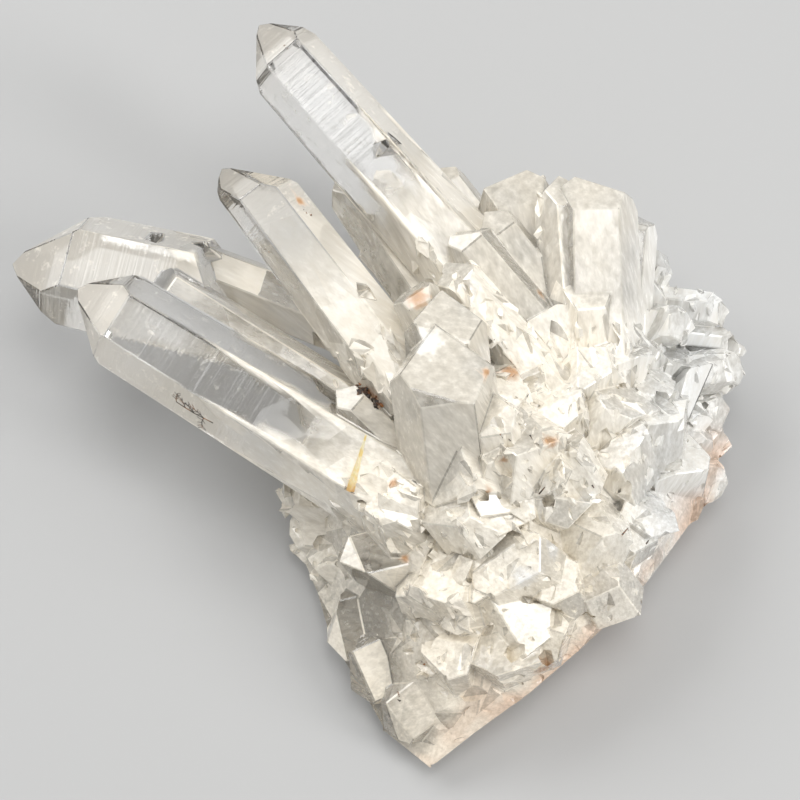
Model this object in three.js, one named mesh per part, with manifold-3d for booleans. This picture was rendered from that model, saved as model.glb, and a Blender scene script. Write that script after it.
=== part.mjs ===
// A hand-size quartz cluster, lying on its side: four long clear points fan out of a mass of
// intergrown, partly broken crystals. Millimetres, +X to the right, +Y away, +Z up.
// It rests on a flat cut at z = 0, and the origin is in the middle of its footprint.
import * as THREE from 'three';
import { ConvexGeometry } from 'three/addons/geometries/ConvexGeometry.js';
import { mergeVertices } from 'three/addons/utils/BufferGeometryUtils.js';
import Module from 'manifold-3d';

const wasm = await Module();
wasm.setup();

// Quartz habit: six prism faces, and tip faces that lean this much from the long axis.
const PRISM_FACES = 6;
const TIP_ANGLE = THREE.MathUtils.degToRad(38.2);
// Three of the six tip faces lie a little further out, in radii, so the others make the apex.
const MINOR_FACE_SETBACK = 0.16;
// A prism narrows by this angle from its root to its tip.
const TAPER = THREE.MathUtils.degToRad(1.2);
// The big points lie with one prism face turned this way, up and a little to the front.
const FACING = new THREE.Vector3(0, -0.37, 0.93);

// The four main points: axis from root to tip, and width over opposite edges. `turn` rolls a
// crystal about its axis, in degrees; `lean` moves its apex, in radii, across and up. `heel` is
// the slope of a root that broke off askew, and the way that it slopes, in degrees.
const MAIN_POINTS = {
  top: { root: [20.3, 11.7, 21], tip: [-18.7, 52.3, 38], across: 12.0, turn: 2, lean: [0.1, 0.1] },
  middle: { root: [5.2, -3.7, 28], tip: [-21.3, 28.6, 41], across: 10.4, turn: -3, lean: [-0.42, 0] },
  stout: {
    root: [-22, 15.3, 18.4], tip: [-55.8, 23, 20], across: 17.6, turn: 10,
    lean: [-0.16, 0.1], heel: [38, 240],
  },
  front: { root: [5.9, -18.1, 22.6], tip: [-44.5, 11.0, 33], across: 14.0, turn: 4, lean: [0.08, 0] },
};

// Lesser crystals that can be told apart one by one. `broken` is a fracture across the tip: how
// far along the axis, its slope, and the way that it slopes, in degrees. `tall` squashes a
// crystal to a blade.
const LESSER_CRYSTALS = {
  shankOfTheStoutPoint: { root: [1.0, 10.4, 16], tip: [-31, 22.2, 20], across: 8.6, turn: 20 },
  slenderBehindTheFront: { root: [3.0, -7.9, 22], tip: [-34.3, 16.6, 26], across: 7.0, turn: 8 },
  bladeBesideTheTop: { root: [11.3, 8.1, 18], tip: [-6.8, 34.5, 24], across: 7.0, turn: 25 },
  bladeRightOfTheTop: { root: [21.3, 20.9, 17], tip: [8.7, 37.0, 22], across: 5.6, turn: 12 },
  stainedStub: { root: [9.6, 1.4, 30], tip: [3.7, 9.7, 42], across: 7.0, broken: [0.8, 20, 200] },
  whitePrism: { root: [11.0, -8.7, 26], tip: [8.9, 5.6, 46], across: 11.6, broken: [0.86, 24, 30] },
  bigStump: { root: [12.0, -19.2, 18], tip: [8.0, -2.4, 50], across: 14.6, broken: [0.86, 26, 30] },
  stumpSide: { root: [18.2, -19.8, 22], tip: [15.6, -9.0, 43], across: 8.4, broken: [0.9, 28, 300] },
  longLeft: { root: [30.2, 0.7, 24], tip: [10.7, 21.8, 34], across: 7.4, broken: [0.93, 30, 80] },
  longRight: { root: [33.3, 2.8, 22], tip: [15.5, 24.6, 32], across: 7.0, turn: 15 },
  longInner: { root: [26.3, -4.0, 27], tip: [8.8, 14.4, 38], across: 6.8, broken: [0.9, 34, 10] },
  belowTheLongLeft: { root: [17, 0, 21], tip: [5.6, 14.6, 30], across: 11, broken: [0.88, 26, 40] },
  backOfTheCrown: { root: [27, 14, 14], tip: [30, 33, 22], across: 14, turn: 15, broken: [0.9, 20, 200] },
  roundedTop: { root: [23.8, 12.2, 18], tip: [19.6, 35.0, 28], across: 12.4, broken: [0.9, 16, 250] },
  domedBlock: { root: [32.3, 0.8, 22], tip: [31.6, 31.6, 34], across: 13.0, broken: [0.9, 22, 100] },
  domedBlockLeft: { root: [28.8, 3.1, 24], tip: [26.6, 29.6, 34], across: 8.4, turn: 18 },
  domedBlockRight: { root: [35.6, 6.4, 20], tip: [38.0, 28.8, 27], across: 8.6, broken: [0.9, 25, 15] },
  columnFront: { root: [32.0, -3.0, 20], tip: [30.2, 16.8, 35], across: 8.0, broken: [0.8, 40, 0] },
  rightUpper: { root: [35.0, 16.4, 16], tip: [44.6, 23.4, 20], across: 6.4, broken: [0.9, 25, 30] },
  rightClear: { root: [38.6, 17.0, 16], tip: [53.4, 14.9, 17], across: 5.6, turn: 12 },
  rightShort: { root: [36.8, 12.6, 18], tip: [47.6, 9.7, 23], across: 6.2, broken: [0.92, 20, 60] },
  rightLow: { root: [41.3, 13.1, 14], tip: [54.4, 10.9, 15], across: 3.8, turn: 20 },
  rightRod: { root: [44.4, 11.4, 13], tip: [56.2, 9.8, 13.5], across: 2.2 },
  rightBlock: { root: [39.9, 4.9, 14], tip: [56.0, 6.4, 15.5], across: 6.6, broken: [0.94, 12, 340] },
  sideUpper: { root: [41.1, 1.6, 9], tip: [54.2, 0.6, 10.5], across: 7.2, broken: [0.92, 22, 80] },
  sideMiddle: { root: [42.0, -0.9, 7], tip: [54.0, -3.6, 8], across: 6.6, turn: 5 },
  sideLower: { root: [41.0, -5.8, 8], tip: [53.4, -10.6, 7.5], across: 8.2, broken: [0.92, 18, 150] },
  sideCorner: { root: [39.2, -9.0, 9], tip: [49.4, -15.2, 8.5], across: 8.0, broken: [0.9, 20, 210] },
  wedge: { root: [7.4, -23.2, 15], tip: [-6.8, -28.4, 20.5], across: 12.4, turn: 26, lean: [0.3, 0.5] },
  shoulder: { root: [5, -24.4, 14], tip: [1, -17.4, 34], across: 10.4, broken: [0.84, 22, 300] },
  frontEdgeBlade: { root: [3.0, -11.2, 16], tip: [-12.4, -1.2, 22], across: 6.0, turn: 10 },
  frontUpperBlade: { root: [6.9, -15.0, 25], tip: [-6.4, -4.4, 33], across: 6.0, turn: 20 },
  frontInnerBlade: { root: [3.0, -18.3, 14], tip: [-10.4, -6.6, 19], across: 6.4 },
  knobUpper: { root: [-1.0, -14.2, 9], tip: [-15.8, -11.6, 9], across: 8.4, turn: 15, tall: 0.8 },
  knobMiddle: { root: [0, -17, 7], tip: [-14.6, -16, 6], across: 8.8, broken: [0.93, 15, 180], tall: 0.7 },
  knobLower: { root: [1.5, -22.7, 7], tip: [-11.4, -20.6, 6], across: 9.2, turn: 25, tall: 0.7 },
  plateUpper: { root: [6, -30, 8], tip: [-9.2, -32.6, 5], across: 14, broken: [0.9, 30, 60], tall: 0.5 },
  plateMiddle: { root: [8, -35, 8], tip: [-5.6, -40.4, 5], across: 13, broken: [0.9, 24, 100], tall: 0.5 },
  plateLower: { root: [11, -40, 8], tip: [0, -48, 5], across: 11, broken: [0.9, 30, 20], tall: 0.6 },
};

// The matrix that they all grow from: its outline seen from above, one point about every 15
// degrees, with the height of the rim there.
const MATRIX_MIDDLE = [21, -6];
const MATRIX_RIM = [
  [51.5, -8, 11], [51, 2, 12], [49.5, 11, 12], [46, 19, 12], [41.5, 26, 11], [35, 31, 12],
  [27.5, 33.5, 11], [19.5, 35, 10], [11, 33.5, 10], [5, 27, 12], [1, 18, 12], [-3, 8, 11],
  [-8, -1, 8], [-13, -10, 7], [-12.5, -18, 6], [-9.5, -26, 6], [-7.5, -33, 5.5],
  [-3.5, -40.5, 5.5], [1, -47.5, 5.5], [7.5, -52.8, 6], [14, -48, 10], [22, -42.5, 13],
  [29.5, -36.5, 14], [37.5, -29, 14], [42.5, -22.5, 14], [47.5, -15.5, 12],
];
// Its rings from the flat cut up to the crown, as shares of the outline, with how uneven each is.
const CUT_RING = { share: 0.816, rough: 0.015 };
const BELLY_RING = { share: 0.94, rough: 0.02 };
const SIDE_RING = { share: 1, rough: 0.015 };
const RIM_RING = { share: 0.95, rough: 0.02 };
const CROWN_RINGS = [{ share: 0.7, rough: 0.04 }, { share: 0.35, rough: 0.04 }];
const BELLY_HEIGHT = 2.4;
const SIDE_HEIGHT_SHARE = 0.72;

// The matrix rises to a crown: each knoll adds a rounded hill, [x, y, height, spread].
const CROWN_BASE = 9;
const KNOLLS = [[12, -11, 21, 13], [29, 9, 13, 12], [33, -13, 8, 14], [14, -33, 7, 12]];
// The blocks' tops stand this far out of the matrix itself.
const CROWN_DROP = [1, 3];

// Broken blocks that cover the matrix out to this share of its outline, on a loose grid. They
// point away from the place where the cluster began to grow.
const BLOCK_LIMIT = 0.87;
const BLOCK_PITCH = 6.2;
const BLOCK_WIDTH = [9, 14];
const BLOCK_RISE = [-0.5, 2.4];
const BLOCK_DEPTH = 8;
const BLOCK_SLOPE = [6, 34];
const BLOCK_SCATTER = 0.5;
const GROWTH_START = new THREE.Vector3(30, -24, -16);
// A block's sides: how far each is from its axis, in radii, and how far off square, in degrees.
const BLOCK_SIDE = [0.62, 1];
const BLOCK_SIDE_TILT = 7;
const BLOCK_SIDE_TURN = 14;
// The second fracture of a block's top: the way that it slopes from the first, and its height.
const SECOND_FRACTURE = { way: 150, rise: 0.4 };
// Smooth clear plates show at these places, so no block does, [x, y, radius].
const PLATE_PLACES = [[-3, -33, 9], [1, -42, 8], [-6, -20, 8]];

// Sheaves of small crystals: where they are rooted, the way they point, how many, how thick.
const SHEAVES = [
  { at: [9, 20, 12], reach: [4, 4, 4], along: [-0.5, 0.75, 0.3], count: 7, width: [3.4, 5.4], length: 19 },
  { at: [22, 26, 11], reach: [12, 2, 4], along: [0, 0.93, 0.3], count: 9, width: [4, 6.5], length: 10 },
  { at: [37, 19, 12], reach: [4, 6, 5], along: [0.7, 0.6, 0.25], count: 7, width: [3.4, 6], length: 8.5 },
  { at: [42, 5, 9], reach: [2, 9, 4], along: [0.96, 0.05, 0.12], count: 11, width: [3.2, 5.6], length: 10 },
  { at: [41, -9, 8], reach: [3, 6, 3], along: [0.9, -0.32, 0.1], count: 6, width: [3.6, 6], length: 9.5 },
  { at: [-1, -8, 13], reach: [4, 7, 7], along: [-0.8, 0.5, 0.2], count: 10, width: [3, 4.8], length: 11 },
  { at: [-3, -16, 7], reach: [4, 6, 3], along: [-0.95, 0, 0.1], count: 5, width: [3.6, 6], length: 8.5 },
];
const SHEAF_SPREAD = 0.2;
const SHEAF_LENGTHS = [0.65, 1.1];
// Nearly half of them are broken: how far along, and how steep the fracture is, in degrees.
const BROKEN_SHARE = 0.45;
const BROKEN_AT = [0.8, 0.95];
const BROKEN_SLOPE = [10, 40];
// Their undersides stay this far above the ground, at the tip and at the root.
const GROUND_GAP = { tip: 0.6, root: 1 };

// Old breaks: places where a flake came off, [x, y, z, size].
const CHIPS = [
  [-33, 24.4, 25.5, 3.4], [-26, 22.6, 24.6, 2.8], [1.2, 33.4, 35.6, 2.6], [-2, 9.4, 37.4, 2.2],
  [22, 37, 30, 3], [37.5, 31.5, 30, 3.4], [9, -2, 47, 3.2], [44, -24, 17, 4.2], [30, -39, 17, 4.4],
  [14, -50, 12, 3.6], [-9, -36, 8, 2.4], [-14, -13, 11.5, 2.2],
];
const CHIP_CORNERS = 9;
const CHIP_SPREAD = [0.75, 1.15];

// One yellow, iron-stained splinter is wedged in the crevice under the front point.
const SPLINTER = { root: [-4.1, -18.8, 30], tip: [-1.8, -12.6, 36], width: 1.3, tipWidth: 0.35 };
const SPLINTER_SIDES = 5;
const CLEARANCE = 0.3;

const QUARTZ = { color: 0xd8d2c8, roughness: 0.12, metalness: 0 };
const STAINED = { color: 0xd9b45c, roughness: 0.4, metalness: 0 };

// Limits of the geometry: planes that count as parallel, a corner that counts as on a plane,
// and corners that count as one, in millimetres.
const PARALLEL = 1e-4;
const ON_PLANE = 1e-5;
const SAME_CORNER = 2e-3;
const MERGE_REACH = 1e-4;

// The same run of random numbers each time, from a seed.
function randomFrom(seed) {
  let state = seed;
  return () => {
    state = (state + 0x6d2b79f5) | 0;
    let t = Math.imul(state ^ (state >>> 15), 1 | state);
    t = (t + Math.imul(t ^ (t >>> 7), 61 | t)) ^ t;
    return ((t ^ (t >>> 14)) >>> 0) / 2 ** 32;
  };
}

const between = (random, [low, high]) => low + (high - low) * random();
const aroundZero = (random, reach) => (random() * 2 - 1) * reach;

// A closed geometry, with its shared corners merged, as a solid.
function solidOf(geometry) {
  const bare = new THREE.BufferGeometry();
  bare.setAttribute('position', geometry.getAttribute('position'));
  if (geometry.index) bare.setIndex(geometry.index);
  const merged = mergeVertices(bare, MERGE_REACH);
  return new wasm.Manifold(new wasm.Mesh({
    numProp: 3,
    vertProperties: new Float32Array(merged.getAttribute('position').array),
    triVerts: new Uint32Array(merged.index.array),
  }));
}

function geometryOf(solid) {
  const mesh = solid.getMesh();
  const geometry = new THREE.BufferGeometry();
  geometry.setAttribute('position', new THREE.BufferAttribute(mesh.vertProperties, 3));
  geometry.setIndex(new THREE.BufferAttribute(mesh.triVerts, 1));
  return geometry;
}

// A plane through `point` that faces along `normal`.
function planeAt(normal, point) {
  return new THREE.Plane().setFromNormalAndCoplanarPoint(normal.clone().normalize(), point);
}

// Every set of three planes, each set once.
function threesOf(planes) {
  return planes.flatMap((a, i) =>
    planes.slice(i + 1).flatMap((b, j) => planes.slice(i + j + 2).map((c) => [a, b, c])));
}

// The corners of the body that lies behind every plane of the list.
function cornersOf(planes) {
  const corners = [];
  const matrix = new THREE.Matrix3();
  threesOf(planes).forEach(([a, b, c]) => {
    matrix.set(...a.normal.toArray(), ...b.normal.toArray(), ...c.normal.toArray());
    if (Math.abs(matrix.determinant()) < PARALLEL) return;
    const corner = new THREE.Vector3(-a.constant, -b.constant, -c.constant);
    corner.applyMatrix3(matrix.invert());
    const behind = planes.every((plane) => plane.distanceToPoint(corner) < ON_PLANE);
    const known = corners.some((other) => other.distanceTo(corner) < SAME_CORNER);
    if (behind && !known) corners.push(corner);
  });
  return corners;
}

// Axes of a crystal: w along it, u across it towards FACING, and v to its side.
function axesOf(root, tip) {
  const start = new THREE.Vector3(...root);
  const w = new THREE.Vector3(...tip).sub(start);
  const length = w.length();
  w.normalize();
  const u = FACING.clone().addScaledVector(w, -FACING.dot(w)).normalize();
  const v = w.clone().cross(u);
  const basis = new THREE.Matrix4().makeBasis(u, v, w).setPosition(start);
  const place = (p) => p.clone().applyMatrix4(basis);
  return { length, place };
}

// The unit vector that slopes away from the long axis: 0 is along it, 90 is square to it.
function sloped(slope, way) {
  const [s, a] = [THREE.MathUtils.degToRad(slope), THREE.MathUtils.degToRad(way)];
  return new THREE.Vector3(Math.sin(s) * Math.cos(a), Math.sin(s) * Math.sin(a), Math.cos(s));
}

// One quartz crystal from root to tip, as the body behind its faces. A `plain` one has only the
// three larger of its tip faces.
function crystal(spec) {
  const { root, tip, across, turn = 0, lean = [0, 0], tall = 1, broken = null } = spec;
  const { heel = [0, 0], plain = true } = spec;
  const { length, place } = axesOf(root, tip);
  const radius = across / 2;
  const flatRadius = radius * Math.cos(Math.PI / PRISM_FACES);
  const planes = [planeAt(sloped(...heel).negate(), new THREE.Vector3())];
  for (let k = 0; k < PRISM_FACES; k++) {
    const angle = THREE.MathUtils.degToRad(turn) + (k * 2 * Math.PI) / PRISM_FACES;
    const out = new THREE.Vector3(Math.cos(angle), Math.sin(angle), 0);
    const squash = 1 - (1 - tall) * Math.cos(angle) ** 2;
    const side = out.clone().multiplyScalar(flatRadius * squash).setZ(length);
    planes.push(planeAt(out.clone().setZ(Math.tan(TAPER)), side));
    if (plain && k % 2) continue;
    const setback = (k % 2) * radius * MINOR_FACE_SETBACK;
    const apex = new THREE.Vector3(lean[1] * radius, lean[0] * radius, length + setback);
    const facing = out.clone().multiplyScalar(Math.cos(TIP_ANGLE)).setZ(Math.sin(TIP_ANGLE));
    planes.push(planeAt(facing, apex));
  }
  if (broken) {
    const [part, slope, way] = broken;
    planes.push(planeAt(sloped(slope, way), new THREE.Vector3(0, 0, length * part)));
  }
  return solidOf(new ConvexGeometry(cornersOf(planes).map(place)));
}

// A broken block: an uneven prism with two fractures for a top.
function block(random, root, top, across) {
  const { length, place } = axesOf(root.toArray(), top.toArray());
  const first = random() * 360;
  const planes = [planeAt(new THREE.Vector3(0, 0, -1), new THREE.Vector3())];
  for (let k = 0; k < PRISM_FACES; k++) {
    const tilt = 90 - aroundZero(random, BLOCK_SIDE_TILT);
    const out = sloped(tilt, first + (k * 360) / PRISM_FACES + aroundZero(random, BLOCK_SIDE_TURN));
    const reach = (across / 2) * between(random, BLOCK_SIDE);
    planes.push(planeAt(out, out.clone().multiplyScalar(reach).setZ(length)));
  }
  const way = random() * 360;
  const fracture = sloped(between(random, BLOCK_SLOPE), way);
  const secondFracture = sloped(between(random, BLOCK_SLOPE), way + SECOND_FRACTURE.way);
  planes.push(planeAt(fracture, new THREE.Vector3(0, 0, length)));
  planes.push(planeAt(secondFracture, new THREE.Vector3(0, 0, length + SECOND_FRACTURE.rise)));
  return solidOf(new ConvexGeometry(cornersOf(planes).map(place)));
}

// Height of the matrix's crown over a place.
function crownAt(x, y) {
  return KNOLLS.reduce((height, [cx, cy, rise, spread]) =>
    height + rise * Math.exp(-((x - cx) ** 2 + (y - cy) ** 2) / (2 * spread ** 2)), CROWN_BASE);
}

// Whether a place lies over the matrix, inside its outline drawn in to a share of its size.
function isOverMatrix(x, y, share) {
  const [mx, my] = MATRIX_MIDDLE;
  const outline = MATRIX_RIM.map(([px, py]) => [mx + (px - mx) * share, my + (py - my) * share]);
  return outline.reduce((inside, [ax, ay], i) => {
    const [bx, by] = outline[(i + 1) % outline.length];
    const crosses = (ay > y) !== (by > y) && x < ax + ((y - ay) / (by - ay)) * (bx - ax);
    return crosses ? !inside : inside;
  }, false);
}

// The matrix: rings from the flat cut, out to the belly and the rim, and in over the crown.
function matrixBody() {
  const random = randomFrom(11);
  const [mx, my] = MATRIX_MIDDLE;
  const ring = ({ share, rough }, heightOf) => MATRIX_RIM.map(([x, y, rim]) => {
    const reach = share + aroundZero(random, rough);
    const [px, py] = [mx + (x - mx) * reach, my + (y - my) * reach];
    return new THREE.Vector3(px, py, heightOf(px, py, rim));
  });
  const crown = (x, y) => crownAt(x, y) - between(random, CROWN_DROP);
  const rings = [
    ring(CUT_RING, () => 0),
    ring(BELLY_RING, () => BELLY_HEIGHT + random()),
    ring(SIDE_RING, (x, y, rim) => rim * SIDE_HEIGHT_SHARE),
    ring(RIM_RING, (x, y, rim) => rim),
    ...CROWN_RINGS.map((spec) => ring(spec, crown)),
  ];
  const count = MATRIX_RIM.length;
  const points = rings.flat();
  const under = points.push(new THREE.Vector3(mx, my, 0)) - 1;
  const top = points.push(new THREE.Vector3(mx, my, crown(mx, my))) - 1;
  const faces = [];
  for (let i = 0; i < count; i++) {
    const next = (i + 1) % count;
    faces.push(under, next, i);
    for (let r = 0; r + 1 < rings.length; r++) {
      const [a, b] = [r * count + i, r * count + next];
      faces.push(a, b, b + count, a, b + count, a + count);
    }
    const last = (rings.length - 1) * count;
    faces.push(last + i, last + next, top);
  }
  const geometry = new THREE.BufferGeometry().setFromPoints(points);
  geometry.setIndex(faces);
  return solidOf(geometry);
}

// Broken blocks over the whole matrix, each pointing away from where growth began.
function blocks() {
  const random = randomFrom(23);
  const box = new THREE.Box2().setFromPoints(MATRIX_RIM.map(([x, y]) => new THREE.Vector2(x, y)));
  const made = [];
  for (let gx = box.min.x; gx < box.max.x; gx += BLOCK_PITCH) {
    for (let gy = box.min.y; gy < box.max.y; gy += BLOCK_PITCH) {
      const x = gx + aroundZero(random, BLOCK_PITCH / 2);
      const y = gy + aroundZero(random, BLOCK_PITCH / 2);
      const overPlate = PLATE_PLACES.some(([px, py, radius]) => Math.hypot(x - px, y - py) < radius);
      if (overPlate || !isOverMatrix(x, y, BLOCK_LIMIT)) continue;
      const rise = between(random, BLOCK_RISE);
      const top = new THREE.Vector3(x, y, crownAt(x, y) + rise);
      const away = top.clone().sub(GROWTH_START).normalize();
      const scatter = [BLOCK_SCATTER, BLOCK_SCATTER, BLOCK_SCATTER / 2];
      away.add(new THREE.Vector3(...scatter.map((reach) => aroundZero(random, reach)))).normalize();
      const root = top.clone().addScaledVector(away, -BLOCK_DEPTH - rise);
      root.z = Math.max(root.z, BELLY_HEIGHT);
      made.push(block(random, root, top, between(random, BLOCK_WIDTH)));
    }
  }
  return made;
}

// One sheaf: small crystals side by side, fanned out a little, clear of the ground.
function sheaf({ at, reach, along, count, width, length }, seed) {
  const random = randomFrom(seed);
  return Array.from({ length: count }, () => {
    const across = between(random, width);
    const root = new THREE.Vector3(...at.map((middle, i) => middle + aroundZero(random, reach[i])));
    const way = new THREE.Vector3(...along.map((share) => share + aroundZero(random, SHEAF_SPREAD)));
    const tip = root.clone().addScaledVector(way.normalize(), length * between(random, SHEAF_LENGTHS));
    tip.z = Math.max(tip.z, across / 2 + GROUND_GAP.tip);
    root.z = Math.max(root.z, across / 2 + GROUND_GAP.root);
    const fracture = [between(random, BROKEN_AT), between(random, BROKEN_SLOPE), random() * 360];
    const broken = random() < BROKEN_SHARE ? fracture : null;
    const turn = (random() * 360) / PRISM_FACES;
    return crystal({ root: root.toArray(), tip: tip.toArray(), across, turn, broken });
  });
}

// A flake's hollow: a small sharp-edged body to cut away.
function chip([x, y, z, size], seed) {
  const random = randomFrom(seed);
  const points = Array.from({ length: CHIP_CORNERS }, () => {
    const way = new THREE.Vector3(...[1, 1, 1].map((reach) => aroundZero(random, reach))).normalize();
    return way.multiplyScalar(size * between(random, CHIP_SPREAD)).add(new THREE.Vector3(x, y, z));
  });
  return solidOf(new ConvexGeometry(points));
}

// The splinter: a thin tapered needle. `extra` widens it on every side.
function splinter(extra) {
  const { length, place } = axesOf(SPLINTER.root, SPLINTER.tip);
  const ring = (width, z) => Array.from({ length: SPLINTER_SIDES }, (_, k) => {
    const angle = (k * 2 * Math.PI) / SPLINTER_SIDES;
    const radius = width / 2 + extra;
    return place(new THREE.Vector3(radius * Math.cos(angle), radius * Math.sin(angle), z));
  });
  const corners = [...ring(SPLINTER.width, -extra), ...ring(SPLINTER.tipWidth, length + extra)];
  return solidOf(new ConvexGeometry(corners));
}

function part(name, solid, finish) {
  const mesh = new THREE.Mesh(geometryOf(solid), new THREE.MeshStandardMaterial(finish));
  mesh.name = name;
  return mesh;
}

// Crystals that grew into each other are one solid, with the old breaks taken off.
function clusterSolid() {
  const crystals = [
    ...Object.values(MAIN_POINTS).map((spec) => crystal({ ...spec, plain: false })),
    ...Object.values(LESSER_CRYSTALS).map(crystal),
    ...blocks(),
    ...SHEAVES.flatMap((spec, i) => sheaf(spec, 101 + i)),
  ];
  const grown = crystals.reduce((whole, one) => whole.add(one), matrixBody());
  const chipped = CHIPS.reduce((whole, spec, i) => whole.subtract(chip(spec, 301 + i)), grown);
  // Only the outer skin counts: a pocket sealed between crystals is filled.
  const skins = chipped.subtract(splinter(CLEARANCE)).decompose();
  return skins.reduce((largest, skin) => (skin.volume() > largest.volume() ? skin : largest));
}

const group = new THREE.Group();
group.add(part('quartz_cluster', clusterSolid(), QUARTZ));
group.add(part('iron_stained_splinter', splinter(0), STAINED));

export default group;
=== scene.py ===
# %% [markdown]
# # A hand-size quartz cluster
# Four long, clear points fan out of a milky mass of intergrown, broken crystals. The solids come
# packed, as a frame in metres. This script gives them what the eye looks for: worn edges, the
# flakes and small crystals that cover the mass, clear, milky and frosted quartz, iron stains and
# a few dark grains. Everything is one grown thing, so it all rides on one body, called root.

# %% Load the frame
import math
import random

import bmesh
import bpy
import numpy as np
from mathutils import Matrix, Vector, noise
from mathutils.bvhtree import BVHTree


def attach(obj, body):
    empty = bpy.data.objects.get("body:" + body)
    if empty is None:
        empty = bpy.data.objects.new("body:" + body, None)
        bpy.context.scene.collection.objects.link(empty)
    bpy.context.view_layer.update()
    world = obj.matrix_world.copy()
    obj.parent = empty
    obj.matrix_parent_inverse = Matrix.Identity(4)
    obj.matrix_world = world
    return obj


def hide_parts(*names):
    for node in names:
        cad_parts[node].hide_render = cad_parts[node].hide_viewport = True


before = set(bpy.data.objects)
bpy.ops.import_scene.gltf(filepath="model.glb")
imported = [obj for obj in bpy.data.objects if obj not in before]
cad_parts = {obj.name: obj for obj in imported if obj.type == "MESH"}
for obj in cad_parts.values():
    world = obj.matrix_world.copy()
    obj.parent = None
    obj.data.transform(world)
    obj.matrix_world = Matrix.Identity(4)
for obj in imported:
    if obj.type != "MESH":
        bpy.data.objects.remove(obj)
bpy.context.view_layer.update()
MM = 0.001
BODY = "root"
CLUSTER_NODE = "quartz_cluster"
SPLINTER_NODE = "iron_stained_splinter"

# %% [markdown]
# ## The camera
# The photograph looks down on the cluster from in front, steeply. A long lens keeps the points
# from flaring. The camera comes first, because some stains are placed through it later.

# %% Camera
AIM = Vector((3, 0, 18)) * MM
CAMERA_DISTANCE = 380 * MM
CAMERA_ELEVATION = math.radians(68)
LENS = 114
SENSOR = 36
PHOTO_SIZE = 800

scene = bpy.context.scene


def link(name, data):
    """A new object in the scene, at the origin."""
    made = bpy.data.objects.new(name, data)
    scene.collection.objects.link(made)
    return made


camera = link("camera", bpy.data.cameras.new("camera"))
camera.data.lens = LENS
camera.data.sensor_width = SENSOR
looking = Vector((0, math.cos(CAMERA_ELEVATION), -math.sin(CAMERA_ELEVATION)))
camera.location = AIM - looking * CAMERA_DISTANCE
camera.rotation_euler = looking.to_track_quat("-Z", "Y").to_euler()
scene.camera = camera
print("camera at", [round(x / MM) for x in camera.location], "mm")


def sight_through(pixel):
    """The direction from the camera through a pixel of the photograph."""
    side, up = Vector((1, 0, 0)), Vector((1, 0, 0)).cross(looking)
    half = SENSOR / LENS / 2
    across = (pixel[0] / PHOTO_SIZE * 2 - 1) * half
    along = (1 - pixel[1] / PHOTO_SIZE * 2) * half
    return (looking + side * across + up * along).normalized()


# %% [markdown]
# ## The studio
# Clear crystal has no colour of its own: it shows what stands around it. So the pale floor gives
# it its light parts, three soft boxes give the bright facets, and a darker room gives the grey
# edges, as a photographer does with black card beside glass.

# %% Floor, lights and room
FLOOR_REACH = 3.0
FLOOR_COLOUR = (0.50, 0.50, 0.495, 1)
FLOOR_FLECK = (0.44, 0.44, 0.435, 1)
ROOM_LOW = (0.30, 0.302, 0.306, 1)
ROOM_HIGH = (0.56, 0.563, 0.566, 1)
SOFT_BOXES = {
    "key": {"at": (-0.42, 0.38, 0.62), "size": (0.56, 0.40), "power": 3.3},
    "overhead": {"at": (0.10, 0.00, 0.85), "size": (0.40, 0.40), "power": 2.1},
    "fill": {"at": (0.55, -0.20, 0.38), "size": (0.16, 0.50), "power": 1.9},
}


def soft_box(name, at, size, power):
    """A soft studio light that looks at the cluster."""
    light = bpy.data.lights.new(name, "AREA")
    light.shape = "RECTANGLE"
    light.size, light.size_y = size
    light.energy = power
    box = link(name, light)
    box.location = at
    box.rotation_euler = (AIM - Vector(at)).to_track_quat("-Z", "Y").to_euler()
    return box


for name, spec in SOFT_BOXES.items():
    soft_box(name, **spec)

floor_mesh = bpy.data.meshes.new("floor")
corners = [(x * FLOOR_REACH, y * FLOOR_REACH, 0) for x, y in ((-1, -1), (1, -1), (1, 1), (-1, 1))]
floor_mesh.from_pydata(corners, [], [(0, 1, 2, 3)])
floor = link("floor", floor_mesh)
print("studio has", len(SOFT_BOXES), "soft boxes and a floor of", FLOOR_REACH * 2, "m")

# %% [markdown]
# ## Writing shaders as sums
# A finish is a sum of masks and noises. One small class wraps a socket, so that a mask can be
# written as 1 - clear * 0.5, and each step of the sum becomes a Math node.

# %% A class for shader sums
class Mask:
    """A value socket of a node tree, for use in sums."""

    def __init__(self, tree, socket):
        self.tree = tree
        self.socket = socket

    def math(self, operation, *terms, clamp=False):
        return add(self.tree, "ShaderNodeMath", {"operation": operation, "use_clamp": clamp}, terms)

    def __add__(self, other):
        return self.math("ADD", self, other)

    __radd__ = __add__

    def __mul__(self, other):
        return self.math("MULTIPLY", self, other)

    __rmul__ = __mul__

    def __sub__(self, other):
        return self.math("SUBTRACT", self, other)

    def __rsub__(self, other):
        return self.math("SUBTRACT", other, self)

    def clamped(self):
        return self.math("ADD", self, 0, clamp=True)

    def ramp(self, low, high):
        """0 below low, 1 above high, and smooth between them."""
        settings = {"interpolation_type": "SMOOTHSTEP"}
        return add(self.tree, "ShaderNodeMapRange", settings, {"Value": self, 1: low, 2: high})


def add(tree, kind, settings=None, sockets=(), out=0):
    """A new node: its settings first, then a value or a link for each socket, by name or place."""
    node = tree.nodes.new(kind)
    for name, value in (settings or {}).items():
        setattr(node, name, value)
    for key, value in sockets.items() if isinstance(sockets, dict) else enumerate(sockets):
        for one in value if isinstance(value, list) else [value]:
            if isinstance(one, Mask):
                tree.links.new(one.socket, node.inputs[key])
            else:
                node.inputs[key].default_value = one
    return Mask(tree, node.outputs[out])


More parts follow.
